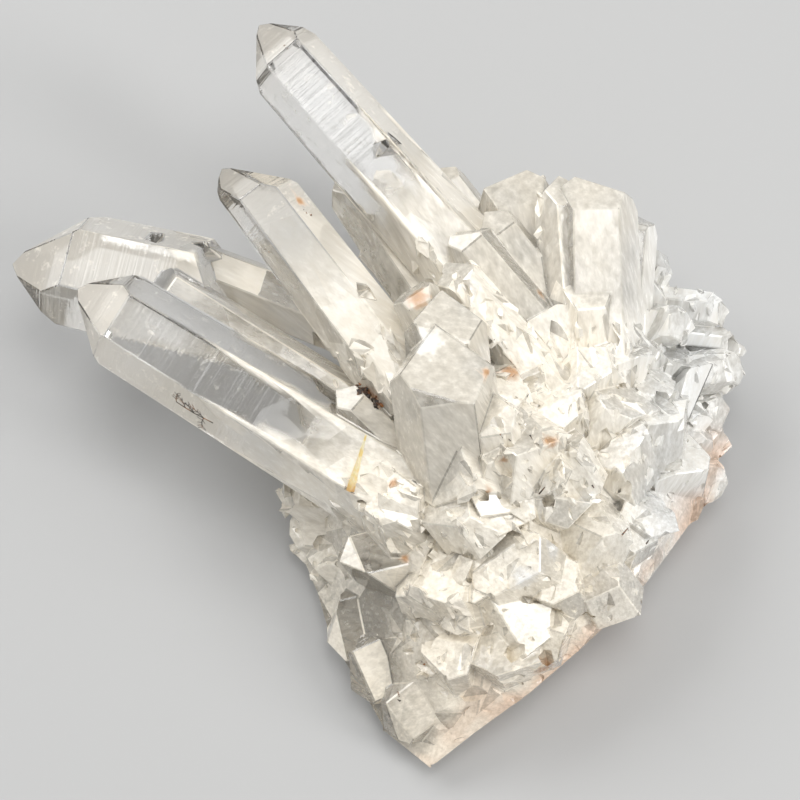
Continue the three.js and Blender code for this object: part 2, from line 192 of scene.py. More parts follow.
def new_material(name):
    """An empty material, its node tree and its output node."""
    material = bpy.data.materials.new(name)
    material.use_nodes = True
    tree = material.node_tree
    tree.nodes.clear()
    return material, tree, tree.nodes.new("ShaderNodeOutputMaterial")


def vector_math(tree, operation, *terms, out=0):
    return add(tree, "ShaderNodeVectorMath", {"operation": operation}, terms, out)


def mix_colours(tree, share, first, second, blend="MIX"):
    """first where share is 0 and second where it is 1."""
    settings = {"data_type": "RGBA", "blend_type": blend}
    return add(tree, "ShaderNodeMix", settings, {0: share, 6: first, 7: second}, out=2)


def place_in_mm(tree):
    """Where a point of the piece is, in millimetres."""
    here = add(tree, "ShaderNodeTexCoord", out=3)
    return vector_math(tree, "MULTIPLY", here, (1 / MM,) * 3)


def noise_at(tree, where, scale, detail=3.0, roughness=0.5, out=0):
    sockets = {"Vector": where, "Scale": scale, "Detail": detail, "Roughness": roughness}
    return add(tree, "ShaderNodeTexNoise", {}, sockets, out)


# %% [markdown]
# The floor is a matt sheet of pale paper, and the room fades from light above to dark at the
# sides.

# %% Paint the floor and the room
paper, tree, output = new_material("pale_paper")
where = place_in_mm(tree)
fleck = noise_at(tree, where, 0.9, 4.0)
paper_colour = mix_colours(tree, fleck * 0.06, FLOOR_COLOUR, FLOOR_FLECK)
sheet = add(tree, "ShaderNodeBsdfPrincipled", {}, {"Base Color": paper_colour, "Roughness": 0.85})
tree.links.new(sheet.socket, output.inputs["Surface"])
floor.data.materials.append(paper)

room = bpy.data.worlds.new("room")
scene.world = room
room.use_nodes = True
tree = room.node_tree
tree.nodes.clear()
upward = add(tree, "ShaderNodeTexCoord", out=0)
height = add(tree, "ShaderNodeSeparateXYZ", {}, [upward], out=2)
glow = mix_colours(tree, height.ramp(0.05, 0.9), ROOM_LOW, ROOM_HIGH)
background = add(tree, "ShaderNodeBackground", {}, {"Color": glow, "Strength": 1.0})
tree.links.new(background.socket, tree.nodes.new("ShaderNodeOutputWorld").inputs["Surface"])

scene.view_settings.view_transform = "Standard"
scene.cycles.use_denoising = True
room.cycles.sampling_method = "NONE"
scene.cycles.max_bounces = 10
scene.cycles.transmission_bounces = 10
scene.cycles.glossy_bounces = 3
scene.cycles.diffuse_bounces = 3
scene.cycles.sample_clamp_indirect = 6.0
print("room and floor painted")

# %% [markdown]
# ## The crystals' own shape
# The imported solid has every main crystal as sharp, flat faces. Real quartz edges are a hair
# rounded, and catch light as thin bright lines. The copy's loose triangles are merged first,
# then flat ones are joined to whole faces, and a narrow bevel runs along every edge.

# %% Worn edges
EDGE_WIDTH = 0.16 * MM
EDGE_ANGLE = math.radians(24)
MERGE_REACH = 1e-6
FLAT_ANGLE = math.radians(1.0)


def merged_copy(node):
    """A CAD node's faces as one closed mesh with whole flat faces."""
    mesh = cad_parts[node].data.copy()
    mesh.materials.clear()
    bm = bmesh.new()
    bm.from_mesh(mesh)
    bmesh.ops.remove_doubles(bm, verts=bm.verts, dist=MERGE_REACH)
    bmesh.ops.dissolve_limit(bm, angle_limit=FLAT_ANGLE, verts=bm.verts, edges=bm.edges)
    bm.to_mesh(mesh)
    bm.free()
    return mesh


grown_mesh = merged_copy(CLUSTER_NODE)
grown = link("grown", grown_mesh)
bevel = grown.modifiers.new("worn", "BEVEL")
bevel.width = EDGE_WIDTH
bevel.segments = 1
bevel.limit_method = "ANGLE"
bevel.angle_limit = EDGE_ANGLE
bevel.use_clamp_overlap = False
print("whole faces:", len(grown_mesh.polygons))

# %% [markdown]
# ## The main points
# The four long points are the clearest part. Their axes and widths are the same ones that the
# solids are grown from. They say where quartz is clear, and where its growth lines run.

# %% Axes of the main points
MAIN_POINTS = {
    "top": {"root": (20.3, 11.7, 21), "tip": (-18.7, 52.3, 38), "across": 12.0, "clear": (0.30, 0.52)},
    "middle": {"root": (5.2, -3.7, 28), "tip": (-21.3, 28.6, 41), "across": 10.4, "clear": (0.25, 0.70)},
    "stout": {"root": (-22, 15.3, 18.4), "tip": (-55.8, 23, 20), "across": 17.6, "clear": (-0.1, 0.25)},
    "front": {"root": (5.9, -18.1, 22.6), "tip": (-44.5, 11, 33), "across": 14.0, "clear": (0.15, 0.40)},
}
# Lesser crystals whose sides are smooth too, as (root, tip, width).
SMOOTH_CRYSTALS = [
    ((1, 10.4, 16), (-31, 22.2, 20), 8.6), ((3, -7.9, 22), (-34.3, 16.6, 26), 7.0),
    ((11.3, 8.1, 18), (-6.8, 34.5, 24), 7.0), ((21.3, 20.9, 17), (8.7, 37, 22), 5.6),
    ((9.6, 1.4, 30), (3.7, 9.7, 42), 7.0), ((11, -8.7, 26), (8.9, 5.6, 46), 11.6),
    ((12, -19.2, 18), (8, -2.4, 50), 14.6), ((30.2, 0.7, 24), (10.7, 21.8, 34), 7.4),
    ((33.3, 2.8, 22), (15.5, 24.6, 32), 7.0), ((23.8, 12.2, 18), (19.6, 35, 28), 12.4),
    ((32.3, 0.8, 22), (31.6, 31.6, 34), 13.0), ((35.6, 6.4, 20), (38, 28.8, 27), 8.6),
    ((3, -11.2, 16), (-12.4, -1.2, 22), 6.0), ((6.9, -15, 25), (-6.4, -4.4, 33), 6.0),
    ((7.4, -23.2, 15), (-6.8, -28.4, 20.5), 12.4), ((6, -30, 8), (-9.2, -32.6, 5), 14.0),
    ((8, -35, 8), (-5.6, -40.4, 5), 13.0), ((11, -40, 8), (0, -48, 5), 11.0),
]
SMOOTH_FROM = 0.25
SMOKY_TIP = 14
# How far off its sides, in mm, and past its tip, as a share, a crystal still counts.
SKIN_REACH = 0.5
BARE_REACH = 1.8
PAST_TIP = 1.1


def along_and_off(place, root, tip):
    """How far along an axis a place is, from 0 at the root to 1, and how far off it, in mm."""
    axis = Vector(tip) - Vector(root)
    from_root = Vector(place) - Vector(root)
    share = from_root.dot(axis) / axis.length_squared
    return share, (from_root - axis * share).length


def is_smooth(place):
    """Whether a place, in mm, is on the smooth side of a named crystal."""
    named = [(root, tip, across, SMOOTH_FROM) for root, tip, across in SMOOTH_CRYSTALS]
    for spec in MAIN_POINTS.values():
        named.append((spec["root"], spec["tip"], spec["across"], spec["clear"][0]))
    for root, tip, across, begins in named:
        share, off = along_and_off(place, root, tip)
        if begins < share < PAST_TIP and off < across / 2 + BARE_REACH:
            return True
    return False


# %% [markdown]
# ## Flakes and small crystals all over the mass
# Between the big crystals the mass is broken into low flakes, a few millimetres across, and here
# and there a small crystal stands out of it. They could be modelled one by one, but they follow
# a rule: a flake lies along the surface and runs away from where growth began, and a crystal
# points that way. So Geometry Nodes strew a few kinds of each over the skin of the mass, and one
# union grows them all together into a single closed solid. The same flakes, turned inward, then
# cut shallow chips out of it.

# %% Kinds of flake and of small crystal
KINDS = 6
SIDES = 6
KIND_SEED = 41
ROOT_DEPTH = 1.0


def add_closed_hull(bm, corners):
    """Add the closed shape around a few corners to a mesh that is being built."""
    hull = bmesh.ops.convex_hull(bm, input=[bm.verts.new(corner) for corner in corners])
    inner = [v for v in hull["geom_interior"] if isinstance(v, bmesh.types.BMVert)]
    bmesh.ops.delete(bm, geom=inner, context="VERTS")


def closed_hull(name, corners):
    """The closed shape around a few corners, as an object."""
    bm = bmesh.new()
    add_closed_hull(bm, corners)
    mesh = bpy.data.meshes.new(name)
    bm.to_mesh(mesh)
    bm.free()
    return bpy.data.objects.new(name, mesh)


def flake(kind):
    """A low, sharp-edged flake of radius 1: an uneven rim, with a slanted roof over it."""
    rnd = random.Random(KIND_SEED + kind)
    corners = []
    for k in range(SIDES):
        angle = math.tau * k / SIDES + rnd.uniform(-0.3, 0.3)
        reach = rnd.uniform(0.62, 1.0)
        x, y = reach * math.cos(angle), reach * math.sin(angle)
        corners += [(x * 0.7, y * 0.7, -ROOT_DEPTH), (x, y, rnd.uniform(-0.35, 0.0))]
    tilt = rnd.uniform(-0.2, 0.2)
    corners += [(-0.45, rnd.uniform(-0.3, 0.3), 0.36 - tilt), (0.5, rnd.uniform(-0.3, 0.3), 0.36 + tilt)]
    return closed_hull(f"flake_{kind}", corners)


def small_crystal(kind):
    """A six-sided crystal of radius 1: even kinds end in a point, odd ones in a slanted break."""
    rnd = random.Random(KIND_SEED + KINDS + kind)
    slope = rnd.uniform(0.3, 0.9)
    corners = []
    for k in range(SIDES):
        angle = math.tau * k / SIDES + rnd.uniform(-0.1, 0.1)
        reach = rnd.uniform(0.8, 1.0)
        x, y = reach * math.cos(angle), reach * math.sin(angle)
        shoulder = 0.85 + 0.3 * (k % 2) if kind % 2 == 0 else 0.9 + slope * x
        corners += [(x, y, -ROOT_DEPTH), (x * 0.96, y * 0.96, shoulder)]
    if kind % 2 == 0:
        corners.append((rnd.uniform(-0.25, 0.25), rnd.uniform(-0.25, 0.25), 1.6))
    return closed_hull(f"small_crystal_{kind}", corners)


flakes = bpy.data.collections.new("flakes")
small_crystals = bpy.data.collections.new("small_crystals")
for kind in range(KINDS):
    flakes.objects.link(flake(kind))
    small_crystals.objects.link(small_crystal(kind))

# %% The skin of the mass
CUT_HEIGHT = 0.8
SKIN_EDGE = 3 * MM
SKIN_ROUNDS = 4


def is_mass_face(face):
    """Whether flakes lie on a face: not on the smooth crystals or the flat cut."""
    centre = face.calc_center_median() / MM
    return centre.z > CUT_HEIGHT and not is_smooth(centre)


skin_mesh = grown_mesh.copy()
bm = bmesh.new()
bm.from_mesh(skin_mesh)
bmesh.ops.triangulate(bm, faces=bm.faces)
for _ in range(SKIN_ROUNDS):
    long_edges = [edge for edge in bm.edges if edge.calc_length() > SKIN_EDGE]
    bmesh.ops.subdivide_edges(bm, edges=long_edges, cuts=1)
    bmesh.ops.triangulate(bm, faces=bm.faces)
bare = [face for face in bm.faces if not is_mass_face(face)]
bmesh.ops.delete(bm, geom=bare, context="FACES")
skin_area = sum(face.calc_area() for face in bm.faces) / MM**2
bm.to_mesh(skin_mesh)
bm.free()
skin = link("skin", skin_mesh)
print("skin:", len(skin_mesh.polygons), "faces,", round(skin_area), "square millimetres")

# %% The tree that strews and unites them
GROWTH_START = Vector((30, -24, -16)) * MM
# Each layer: its kind, the spacing and radius in mm, the height as a share of the radius, how
# far it may lean, and its seed.
GROWN = {
    "slabs": {
        "kind": "Flakes", "spacing": 5.2, "radius": (1.8, 3.2), "tall": (0.25, 0.42),
        "askew": 0.10, "seed": 3,
    },
    "shards": {
        "kind": "Flakes", "spacing": 2.7, "radius": (0.8, 1.7), "tall": (0.45, 0.8),
        "askew": 0.30, "seed": 23,
    },
    "crystals": {
        "kind": "Crystals", "spacing": 9.0, "radius": (0.6, 1.2), "tall": (0.8, 1.3),
        "askew": 0.4, "seed": 15,
    },
}
CHIPPED = {
    "wide": {
        "kind": "Flakes", "spacing": 4.4, "radius": (1.8, 3.4), "tall": (0.32, 0.55),
        "askew": 0.18, "seed": 31,
    },
    "fine": {
        "kind": "Flakes", "spacing": 3.0, "radius": (0.7, 1.4), "tall": (0.35, 0.6),
        "askew": 0.28, "seed": 47,
    },
}
# What grows stands on skin that looks upward at least this much, and stays off the straight rim
# at the lower right of the photograph.
STREWN_ABOVE = {"Flakes": 0.05, "Crystals": 0.35}
RIM_WAY = (0.715, -0.699, 0)
RIM_KEEP_OFF = 36 * MM
LEAN = {"Flakes": 0.05, "Crystals": 1.2}
LONG_SHARE = {"Flakes": (1.0, 1.8), "Crystals": (0.8, 1.0)}
SIDE_SHARE = (0.45, 0.85)
ROLL_JITTER = 0.4
MOST_PER_AREA = 1.2e6
FOOT = 0.04 * MM
GROUND_SIZE = (0.5, 0.5, 0.05)

growth = bpy.data.node_groups.new("flakes_and_small_crystals", "GeometryNodeTree")
growth_inputs = {}
for label, kind in {
    "Geometry": "NodeSocketGeometry", "Skin": "NodeSocketObject", "Flakes": "NodeSocketCollection",
    "Crystals": "NodeSocketCollection", "Growth start": "NodeSocketVector",
}.items():
    growth_inputs[label] = growth.interface.new_socket(label, in_out="INPUT", socket_type=kind)
growth.interface.new_socket("Geometry", in_out="OUTPUT", socket_type="NodeSocketGeometry")
group_in = growth.nodes.new("NodeGroupInput")
given = {label: Mask(growth, group_in.outputs[label]) for label in growth_inputs}


def random_value(tree, low, high, seed):
    """A random number for each point, or a vector where the limits are vectors."""
    if isinstance(low, tuple):
        sockets = {0: low, 1: high, "Seed": seed}
        return add(tree, "FunctionNodeRandomValue", {"data_type": "FLOAT_VECTOR"}, sockets)
    sockets = {2: low, 3: high, "Seed": seed}
    return add(tree, "FunctionNodeRandomValue", {"data_type": "FLOAT"}, sockets, out=1)


def strewn(tree, kind, spacing, radius, tall, askew, seed, inward=False):
    """One layer of flakes or small crystals on the skin, as instances."""
    sockets = {
        "Mesh": add(tree, "GeometryNodeObjectInfo", {}, {"Object": given["Skin"]}, out=4),
        "Distance Min": spacing * MM, "Density Max": MOST_PER_AREA, "Seed": seed,
    }
    here = add(tree, "GeometryNodeInputPosition")
    if not inward:
        facing = add(tree, "GeometryNodeInputNormal")
        upward = add(tree, "ShaderNodeSeparateXYZ", {}, [facing], out=2)
        out_to_rim = vector_math(tree, "DOT_PRODUCT", here, RIM_WAY, out=1)
        off_the_rim = upward.math("LESS_THAN", out_to_rim, RIM_KEEP_OFF)
        sockets["Selection"] = upward.math("GREATER_THAN", upward * off_the_rim, STREWN_ABOVE[kind])
    settings = {"distribute_method": "POISSON"}
    points = add(tree, "GeometryNodeDistributePointsOnFaces", settings, sockets)
    outward = vector_math(tree, "SUBTRACT", here, given["Growth start"])
    outward = vector_math(tree, "NORMALIZE", outward)
    up = Mask(tree, points.socket.node.outputs["Normal"])
    jitter = random_value(tree, (-askew,) * 3, (askew,) * 3, seed + 1)
    leaning = vector_math(tree, "ADD", up, vector_math(tree, "MULTIPLY", outward, (LEAN[kind],) * 3))
    way = vector_math(tree, "ADD", leaning, jitter)
    way = vector_math(tree, "MULTIPLY", way, (-1 if inward else 1,) * 3)
    upright = add(tree, "FunctionNodeAlignRotationToVector", {"axis": "Z"}, {"Vector": way})
    settings = {"axis": "X", "pivot_axis": "Z"}
    sockets = {"Rotation": upright, "Vector": outward}
    along = add(tree, "FunctionNodeAlignRotationToVector", settings, sockets)
    roll = random_value(tree, -ROLL_JITTER, ROLL_JITTER, seed + 2)
    roll = add(tree, "ShaderNodeCombineXYZ", {}, {"Z": roll})
    rolled = add(tree, "FunctionNodeRotateRotation", {"rotation_space": "LOCAL"}, [along, roll])
    width = random_value(tree, radius[0] * MM, radius[1] * MM, seed + 3)
    side = width * random_value(tree, *SIDE_SHARE, seed + 4)
    long = width * random_value(tree, *LONG_SHARE[kind], seed + 5)
    height = width * random_value(tree, *tall, seed + 6)
    size = add(tree, "ShaderNodeCombineXYZ", {}, [long, side, height])
    sockets = {"Collection": given[kind], "Separate Children": True, "Reset Children": True}
    shapes = add(tree, "GeometryNodeCollectionInfo", {}, sockets)
    sockets = {
        "Points": points, "Instance": shapes, "Pick Instance": True, "Rotation": rolled,
        "Scale": size,
    }
    return add(tree, "GeometryNodeInstanceOnPoints", {}, sockets)


layers = [strewn(growth, **spec) for spec in GROWN.values()]
united = add(
    growth, "GeometryNodeMeshBoolean", {"operation": "UNION", "solver": "MANIFOLD"},
    {"Mesh 2": [given["Geometry"], *layers]},
)
chips = [strewn(growth, **spec, inward=True) for spec in CHIPPED.values()]
ground = add(growth, "GeometryNodeMeshCube", {}, {"Size": GROUND_SIZE})
ground_place = (0, 0, FOOT - GROUND_SIZE[2] / 2)
ground = add(growth, "GeometryNodeTransform", {}, {"Geometry": ground, "Translation": ground_place})
standing = add(
    growth, "GeometryNodeMeshBoolean", {"operation": "DIFFERENCE", "solver": "MANIFOLD"},
    {"Mesh 1": united, "Mesh 2": [ground, *chips]},
)
whole = add(growth, "GeometryNodeRealizeInstances", {}, {"Geometry": standing})

# %% Grow the cluster
quartz, quartz_tree, quartz_output = new_material("quartz")
finished = add(growth, "GeometryNodeSetMaterial", {}, {"Geometry": whole, "Material": quartz})
group_out = growth.nodes.new("NodeGroupOutput")
growth.links.new(finished.socket, group_out.inputs[0])

grow = grown.modifiers.new("growth", "NODES")
grow.node_group = growth
for label, value in {
    "Skin": skin, "Flakes": flakes, "Crystals": small_crystals, "Growth start": tuple(GROWTH_START),
}.items():
    grow[growth_inputs[label].identifier] = value


def plain_mesh(source, name):
    """What an object's modifiers make, as a mesh of its own."""
    evaluated = source.evaluated_get(bpy.context.evaluated_depsgraph_get())
    mesh = bpy.data.meshes.new_from_object(evaluated)
    mesh.name = name
    return mesh


cluster = link("quartz_crystals", plain_mesh(grown, "quartz_crystals"))
for helper in (grown, skin):
    bpy.data.objects.remove(helper)
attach(cluster, BODY)
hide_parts(CLUSTER_NODE)
print("grown:", len(cluster.data.polygons), "faces")


# %% Drop the crumbs that the chips cut loose
def keep_largest_part(mesh):
    """Delete all but the largest joined part of a mesh, and say how many parts went."""
    bm = bmesh.new()
    bm.from_mesh(mesh)
    waiting, parts = set(bm.verts), []
    while waiting:
        part = {waiting.pop()}
        front = list(part)
        while front:
            vert = front.pop()
            for edge in vert.link_edges:
                other = edge.other_vert(vert)
                if other in waiting:
                    waiting.remove(other)
                    part.add(other)
                    front.append(other)
        parts.append(part)
    parts.sort(key=len)
    crumbs = [vert for part in parts[:-1] for vert in part]
    bmesh.ops.delete(bm, geom=crumbs, context="VERTS")
    bm.to_mesh(mesh)
    bm.free()
    return len(parts) - 1


print("loose crumbs deleted:", keep_largest_part(cluster.data))
triangles = sum(len(face.vertices) - 2 for face in cluster.data.polygons)
print("cluster has", triangles, "triangles")

# %% [markdown]
# ## Stains and white patches, placed at pixels
# Iron stains and white patches lie where the photograph shows them. Each is a pixel, a size in
# millimetres and a kind. A ray from the camera through the pixel finds its place on the grown
# cluster, so that it lies on the crystal that carries it, whatever side it is seen from.

# %% Where the stains lie
STAINS = {
    "rust": {
        (417, 297): 2.4, (300, 201): 1.2, (540, 293): 1.0, (510, 372): 2.2, (372, 397): 2.2,
        (550, 440): 1.7, (487, 492): 0.9, (393, 483): 1.0, (545, 668): 2.2, (504, 460): 0.8,
        (405, 558): 1.0, (487, 372): 1.0,
    },
    "bright": {(552, 548): 2.6, (525, 580): 3.0, (588, 500): 2.2, (497, 500): 1.2, (424, 340): 3.2},
}
surface = BVHTree.FromPolygons(
    [v.co for v in cluster.data.vertices], [tuple(face.vertices) for face in cluster.data.polygons]
)


def seen_at(pixel):
    """The place on the cluster, in metres, that the camera sees at a pixel of the photograph."""
    place, normal, _, _ = surface.ray_cast(camera.location, sight_through(pixel))
    return place, normal


stain_places = {kind: [] for kind in STAINS}
for kind, spots in STAINS.items():
    for pixel, size in spots.items():
        place, _ = seen_at(pixel)
        if place is not None:
            stain_places[kind].append((tuple(place / MM), size))
print("stains found on the cluster:", {kind: len(spots) for kind, spots in stain_places.items()})

# %% [markdown]
# ## Painting the masks on the mesh
# What changes slowly over the cluster is worked out once for each corner of the mesh, and kept
# as a named attribute: how clear the quartz is, where the tips go smoky, where a stain lies. The
# shader then only looks it up, which renders far faster than the same sums in nodes. The mesh
# first gets more corners where its faces are long, and most round the stains.

# %% More corners for the masks
PAINT_EDGE = 2.8 * MM
STAIN_EDGE = 0.45 * MM
STAIN_MARGIN = 1.5
PAINT_ROUNDS = 3


def split_long_edges(bm, edges, limit):
    """Cut edges over a limit in half, and keep every face a triangle."""
    chosen = [edge for edge in edges if edge.calc_length() > limit]
    bmesh.ops.subdivide_edges(bm, edges=chosen, cuts=1)
    bmesh.ops.triangulate(bm, faces=[face for face in bm.faces if len(face.verts) > 3])


bm = bmesh.new()
bm.from_mesh(cluster.data)
bmesh.ops.triangulate(bm, faces=bm.faces)
for _ in range(PAINT_ROUNDS):
    split_long_edges(bm, bm.edges, PAINT_EDGE)
stain_spots = [
    (Vector(place) * MM, size * MM * STAIN_MARGIN)
    for spots in stain_places.values() for place, size in spots
]
for _ in range(PAINT_ROUNDS):
    near = [
        edge for edge in bm.edges
        if any((edge.verts[0].co - place).length < reach for place, reach in stain_spots)
    ]
    split_long_edges(bm, near, STAIN_EDGE)
bm.to_mesh(cluster.data)
bm.free()
corner_count = len(cluster.data.vertices)
corner_places = np.empty(corner_count * 3)
cluster.data.vertices.foreach_get("co", corner_places)
corner_places = corner_places.reshape(-1, 3) / MM
print("painted mesh has", len(cluster.data.polygons), "faces")

# %% Masks of the points and the mass


def smooth_step(low, high, values):
    """0 below low, 1 above high, and smooth between them."""
    share = np.clip((values - low) / (high - low), 0, 1)
    return share * share * (3 - 2 * share)


def along_and_off_all(root, tip, places):
    """along_and_off for many places at once."""
    axis = np.subtract(tip, root)
    from_root = places - np.array(root)
    share = from_root @ axis / (axis @ axis)
    return share, np.linalg.norm(from_root - share[:, None] * axis, axis=1)


def glassy_sides(x, y):
    """How far places are on the clear knobs at the right, and on the plates at the lower left."""
    knobs = smooth_step(34, 46, x) * smooth_step(-14, 2, y)
    plates = (1 - smooth_step(-2, 6, x)) * (1 - smooth_step(-32, -22, y))
    return knobs, plates


def paint(name, values):
    """Keep a mask as an attribute of the cluster's mesh."""
    attribute = cluster.data.attributes.new(name, "FLOAT", "POINT")
    attribute.data.foreach_set("value", np.asarray(values, dtype=np.float32))


def tinted(colours, share, tint):
    """Colours, one for each corner, mixed with one tint where share is 1."""
    share = np.clip(share, 0, 1)[:, None]
    return colours * (1 - share) + np.array(tint) * share


def cloud_at(scale, seed):
    """A soft noise from 0 to 1 for each corner, with features of 1 / scale millimetres."""
    shift = Vector((seed, -seed, seed * 0.5))
    values = [noise.noise(Vector(place) * scale + shift) for place in corner_places]
    return np.array(values) * 0.5 + 0.5


on_points = np.zeros(corner_count)
smoke = np.zeros(corner_count)
growth_line = np.zeros(corner_count)
for spec in MAIN_POINTS.values():
    share, off = along_and_off_all(spec["root"], spec["tip"], corner_places)
    inside = (off < spec["across"] / 2 + SKIN_REACH) & (share < PAST_TIP)
    length = (Vector(spec["tip"]) - Vector(spec["root"])).length
    on_points = np.maximum(on_points, inside * smooth_step(*spec["clear"], share))
    smoke = np.maximum(smoke, inside * smooth_step(1 - SMOKY_TIP / length, 1.02, share))
    growth_line = np.where(inside, share * length, growth_line)
smooth = np.zeros(corner_count)
for root, tip, across in SMOOTH_CRYSTALS:
    share, off = along_and_off_all(root, tip, corner_places)
    inside = (off < across / 2 + SKIN_REACH) & (share < PAST_TIP)
    begins = smooth_step(SMOOTH_FROM - 0.05, SMOOTH_FROM + 0.15, share)
    smooth = np.maximum(smooth, inside * begins)
stain = {}
ragged = cloud_at(1.6, 7) * 0.9 + 0.55
for kind, spots in stain_places.items():
    stain[kind] = np.zeros(corner_count)
    for place, size in spots:
        away = np.linalg.norm(corner_places - np.array(place), axis=1) * ragged
        stain[kind] = np.maximum(stain[kind], 1 - smooth_step(size * 0.2, size, away))
print("corners on points:", int((on_points > 0.5).sum()), "and smooth:", int((smooth > 0.5).sum()))

# %% Colour and milkiness of each corner
CREAM = (0.97, 0.91, 0.80)
SAND = (0.91, 0.82, 0.67)
PALE_GREY = (0.93, 0.935, 0.93)
WHITE = (0.98, 0.98, 0.97)
RUST = (0.55, 0.27, 0.09)
BEIGE = (0.84, 0.79, 0.71)
PEACH = (0.82, 0.58, 0.42)
MILK_OF_MASS = 0.97
MILK_OF_POINTS = 0.03
CLEARER = 0.75
# Where each colour begins and ends, in mm along x, y, z or RIM_WAY.
GREY_ALONG_X = (28, 46)
SAND_ALONG_Y = (-42, -20)
RIM_BAND = (34, 41)
RIM_HEIGHT = (9, 16)
RIM_REDDER_ALONG_X = (8, 24)

x, y, z = corner_places.T
clouds = cloud_at(0.16, 3)
right_side, left_plates = glassy_sides(x, y)
rim = smooth_step(*RIM_BAND, corner_places @ np.array(RIM_WAY))
rim = rim * (1 - smooth_step(*RIM_HEIGHT, z)) * smooth_step(0.25, 0.55, clouds)
redder = 0.4 + 0.5 * smooth_step(*RIM_REDDER_ALONG_X, x)

stone = np.ones((corner_count, 3)) * np.array(CREAM)
stone = tinted(stone, smooth_step(*GREY_ALONG_X, x) * 0.8 + (clouds - 0.5) * 0.7, PALE_GREY)
stone = tinted(stone, (1 - smooth_step(*SAND_ALONG_Y, y)) * 0.5, SAND)
stone = tinted(stone, rim * redder, PEACH)
stone = tinted(stone, smoke * 0.7, BEIGE)
stone = tinted(stone, stain["bright"] * 0.8, WHITE)
stone = tinted(stone, stain["rust"] * 0.9, RUST)
clear = right_side * 0.35 + left_plates + smooth * 0.4 + smooth_step(0.5, 0.8, clouds) * 0.15
milk = (MILK_OF_MASS - np.clip(clear, 0, 1) * CLEARER) * (1 - on_points)
milk = milk + MILK_OF_POINTS * on_points
milk = milk + stain["rust"] * 0.8 + stain["bright"] * 0.6
smooth = np.maximum(smooth, left_plates * 0.7)

on_points_at = on_points.tolist()
paint("milk", np.clip(milk, 0, 1))
paint("on_points", on_points)
paint("smoke", smoke)
paint("growth_line", growth_line)
paint("smooth", smooth)
stone_colour = cluster.data.attributes.new("stone_colour", "FLOAT_COLOR", "POINT")
stone = np.column_stack([stone, np.ones(corner_count)]).astype(np.float32)
stone_colour.data.foreach_set("color", stone.ravel())
print("painted:", [a.name for a in cluster.data.attributes if a.domain == "POINT"])

# %% [markdown]
# Some faces of the points are frosted: they look white or beige, while the face beside them is
# clear. This mask stops sharply at the crystal's edges, so it is kept for each face. A pixel of
# the photograph names each frosted face: all faces of that crystal that look the same way as
# the one seen there are frosted too. On the clear knobs and plates, each flat facet gets a tone
# of its own, from the plane that it lies in, and the brighter ones are frosted.

# %% Frosted faces
FROSTED_FACES = {
    "top": {(274, 40): 0.42, (370, 104): 0.45, (259, 62): 0.35},
    "middle": {(326, 287): 0.30, (338, 249): 0.40, (240, 184): 0.35},
    "stout": {
        (43, 264): 0.50, (122, 266): 0.40, (66, 318): 0.35, (62, 236): 0.45, (150, 228): 0.30,
    },
    "front": {(225, 425): 0.55, (104, 304): 0.60, (93, 338): 0.45},
}
SAME_WAY = 0.98
BRIGHT_FACETS = 0.75
CLEARER_FACETS = 0.3

face_count = len(cluster.data.polygons)
face_middles, face_ways = np.empty(face_count * 3), np.empty(face_count * 3)
cluster.data.polygons.foreach_get("center", face_middles)
cluster.data.polygons.foreach_get("normal", face_ways)
face_middles, face_ways = face_middles.reshape(-1, 3) / MM, face_ways.reshape(-1, 3)
plane_at = (face_middles * face_ways).sum(axis=1)
facet_tone = np.array([
    noise.noise(Vector(way) * 2.3 + Vector((0.31 * far, 0.17 * far, 5)))
    for way, far in zip(face_ways, plane_at)
])
glassy = np.maximum(*glassy_sides(face_middles[:, 0], face_middles[:, 1]))
frost = smooth_step(0.05, 0.15, facet_tone) * glassy * BRIGHT_FACETS
frost = frost - (facet_tone < -0.2) * (1 - glassy) * CLEARER_FACETS
for name, faces in FROSTED_FACES.items():
    spec = MAIN_POINTS[name]
    share, off = along_and_off_all(spec["root"], spec["tip"], face_middles)
    on_it = (off < spec["across"] / 2 + SKIN_REACH) & (share > 1 - PAST_TIP) & (share < PAST_TIP)
    frost = np.where(on_it & (share > spec["clear"][1]), 0, frost)
    for pixel, amount in faces.items():
        _, way = seen_at(pixel)
        same_way = face_ways @ np.array(way) > SAME_WAY
        frost = np.where(on_it & same_way, amount, frost)
frosted = cluster.data.attributes.new("frost", "FLOAT", "FACE")
frosted.data.foreach_set("value", frost.astype(np.float32))
print("frosted faces:", int((frost > 0).sum()))

# %% [markdown]
# ## Clear and milky quartz
# Clear quartz is plain glass to the eye: all light passes, bent by 1.544. Milky quartz is full
# of fine bubbles and cracks, so light turns back near the surface, white and slightly warm. Both
# are one stone, and one melts into the other: a mask says how milky each place is, and a Mix
# Shader blends the two finishes by it.

# %% Where quartz is clear
QUARTZ_IOR = 1.544
ALL_CLEAR = 0.999
CLEAR = (0.985, 0.98, 0.97, 1)
FIBRES = 64
FIBRE_RUN = 0.13
SHADE = (0.93, 0.915, 0.88, 1)
FLECK = (1.0, 1.0, 0.99, 1)
SMOKE = (0.94, 0.90, 0.84, 1)

tree, output = quartz_tree, quartz_output
where = place_in_mm(tree)
from_start = vector_math(tree, "SUBTRACT", where, tuple(GROWTH_START / MM))
spread = vector_math(tree, "MULTIPLY", vector_math(tree, "NORMALIZE", from_start), (FIBRES,) * 3)
reach = vector_math(tree, "LENGTH", from_start, out=1) * FIBRE_RUN
run = add(tree, "ShaderNodeCombineXYZ", {}, [reach, reach, reach])
fibre_place = vector_math(tree, "ADD", spread, run)
streaks = noise_at(tree, fibre_place, 1.0, 2.0, 0.6)


def painted(tree, name, out=2):
    """A mask, or for out=0 a colour, that was painted on the mesh."""
    return add(tree, "ShaderNodeAttribute", {"attribute_name": name}, out=out)


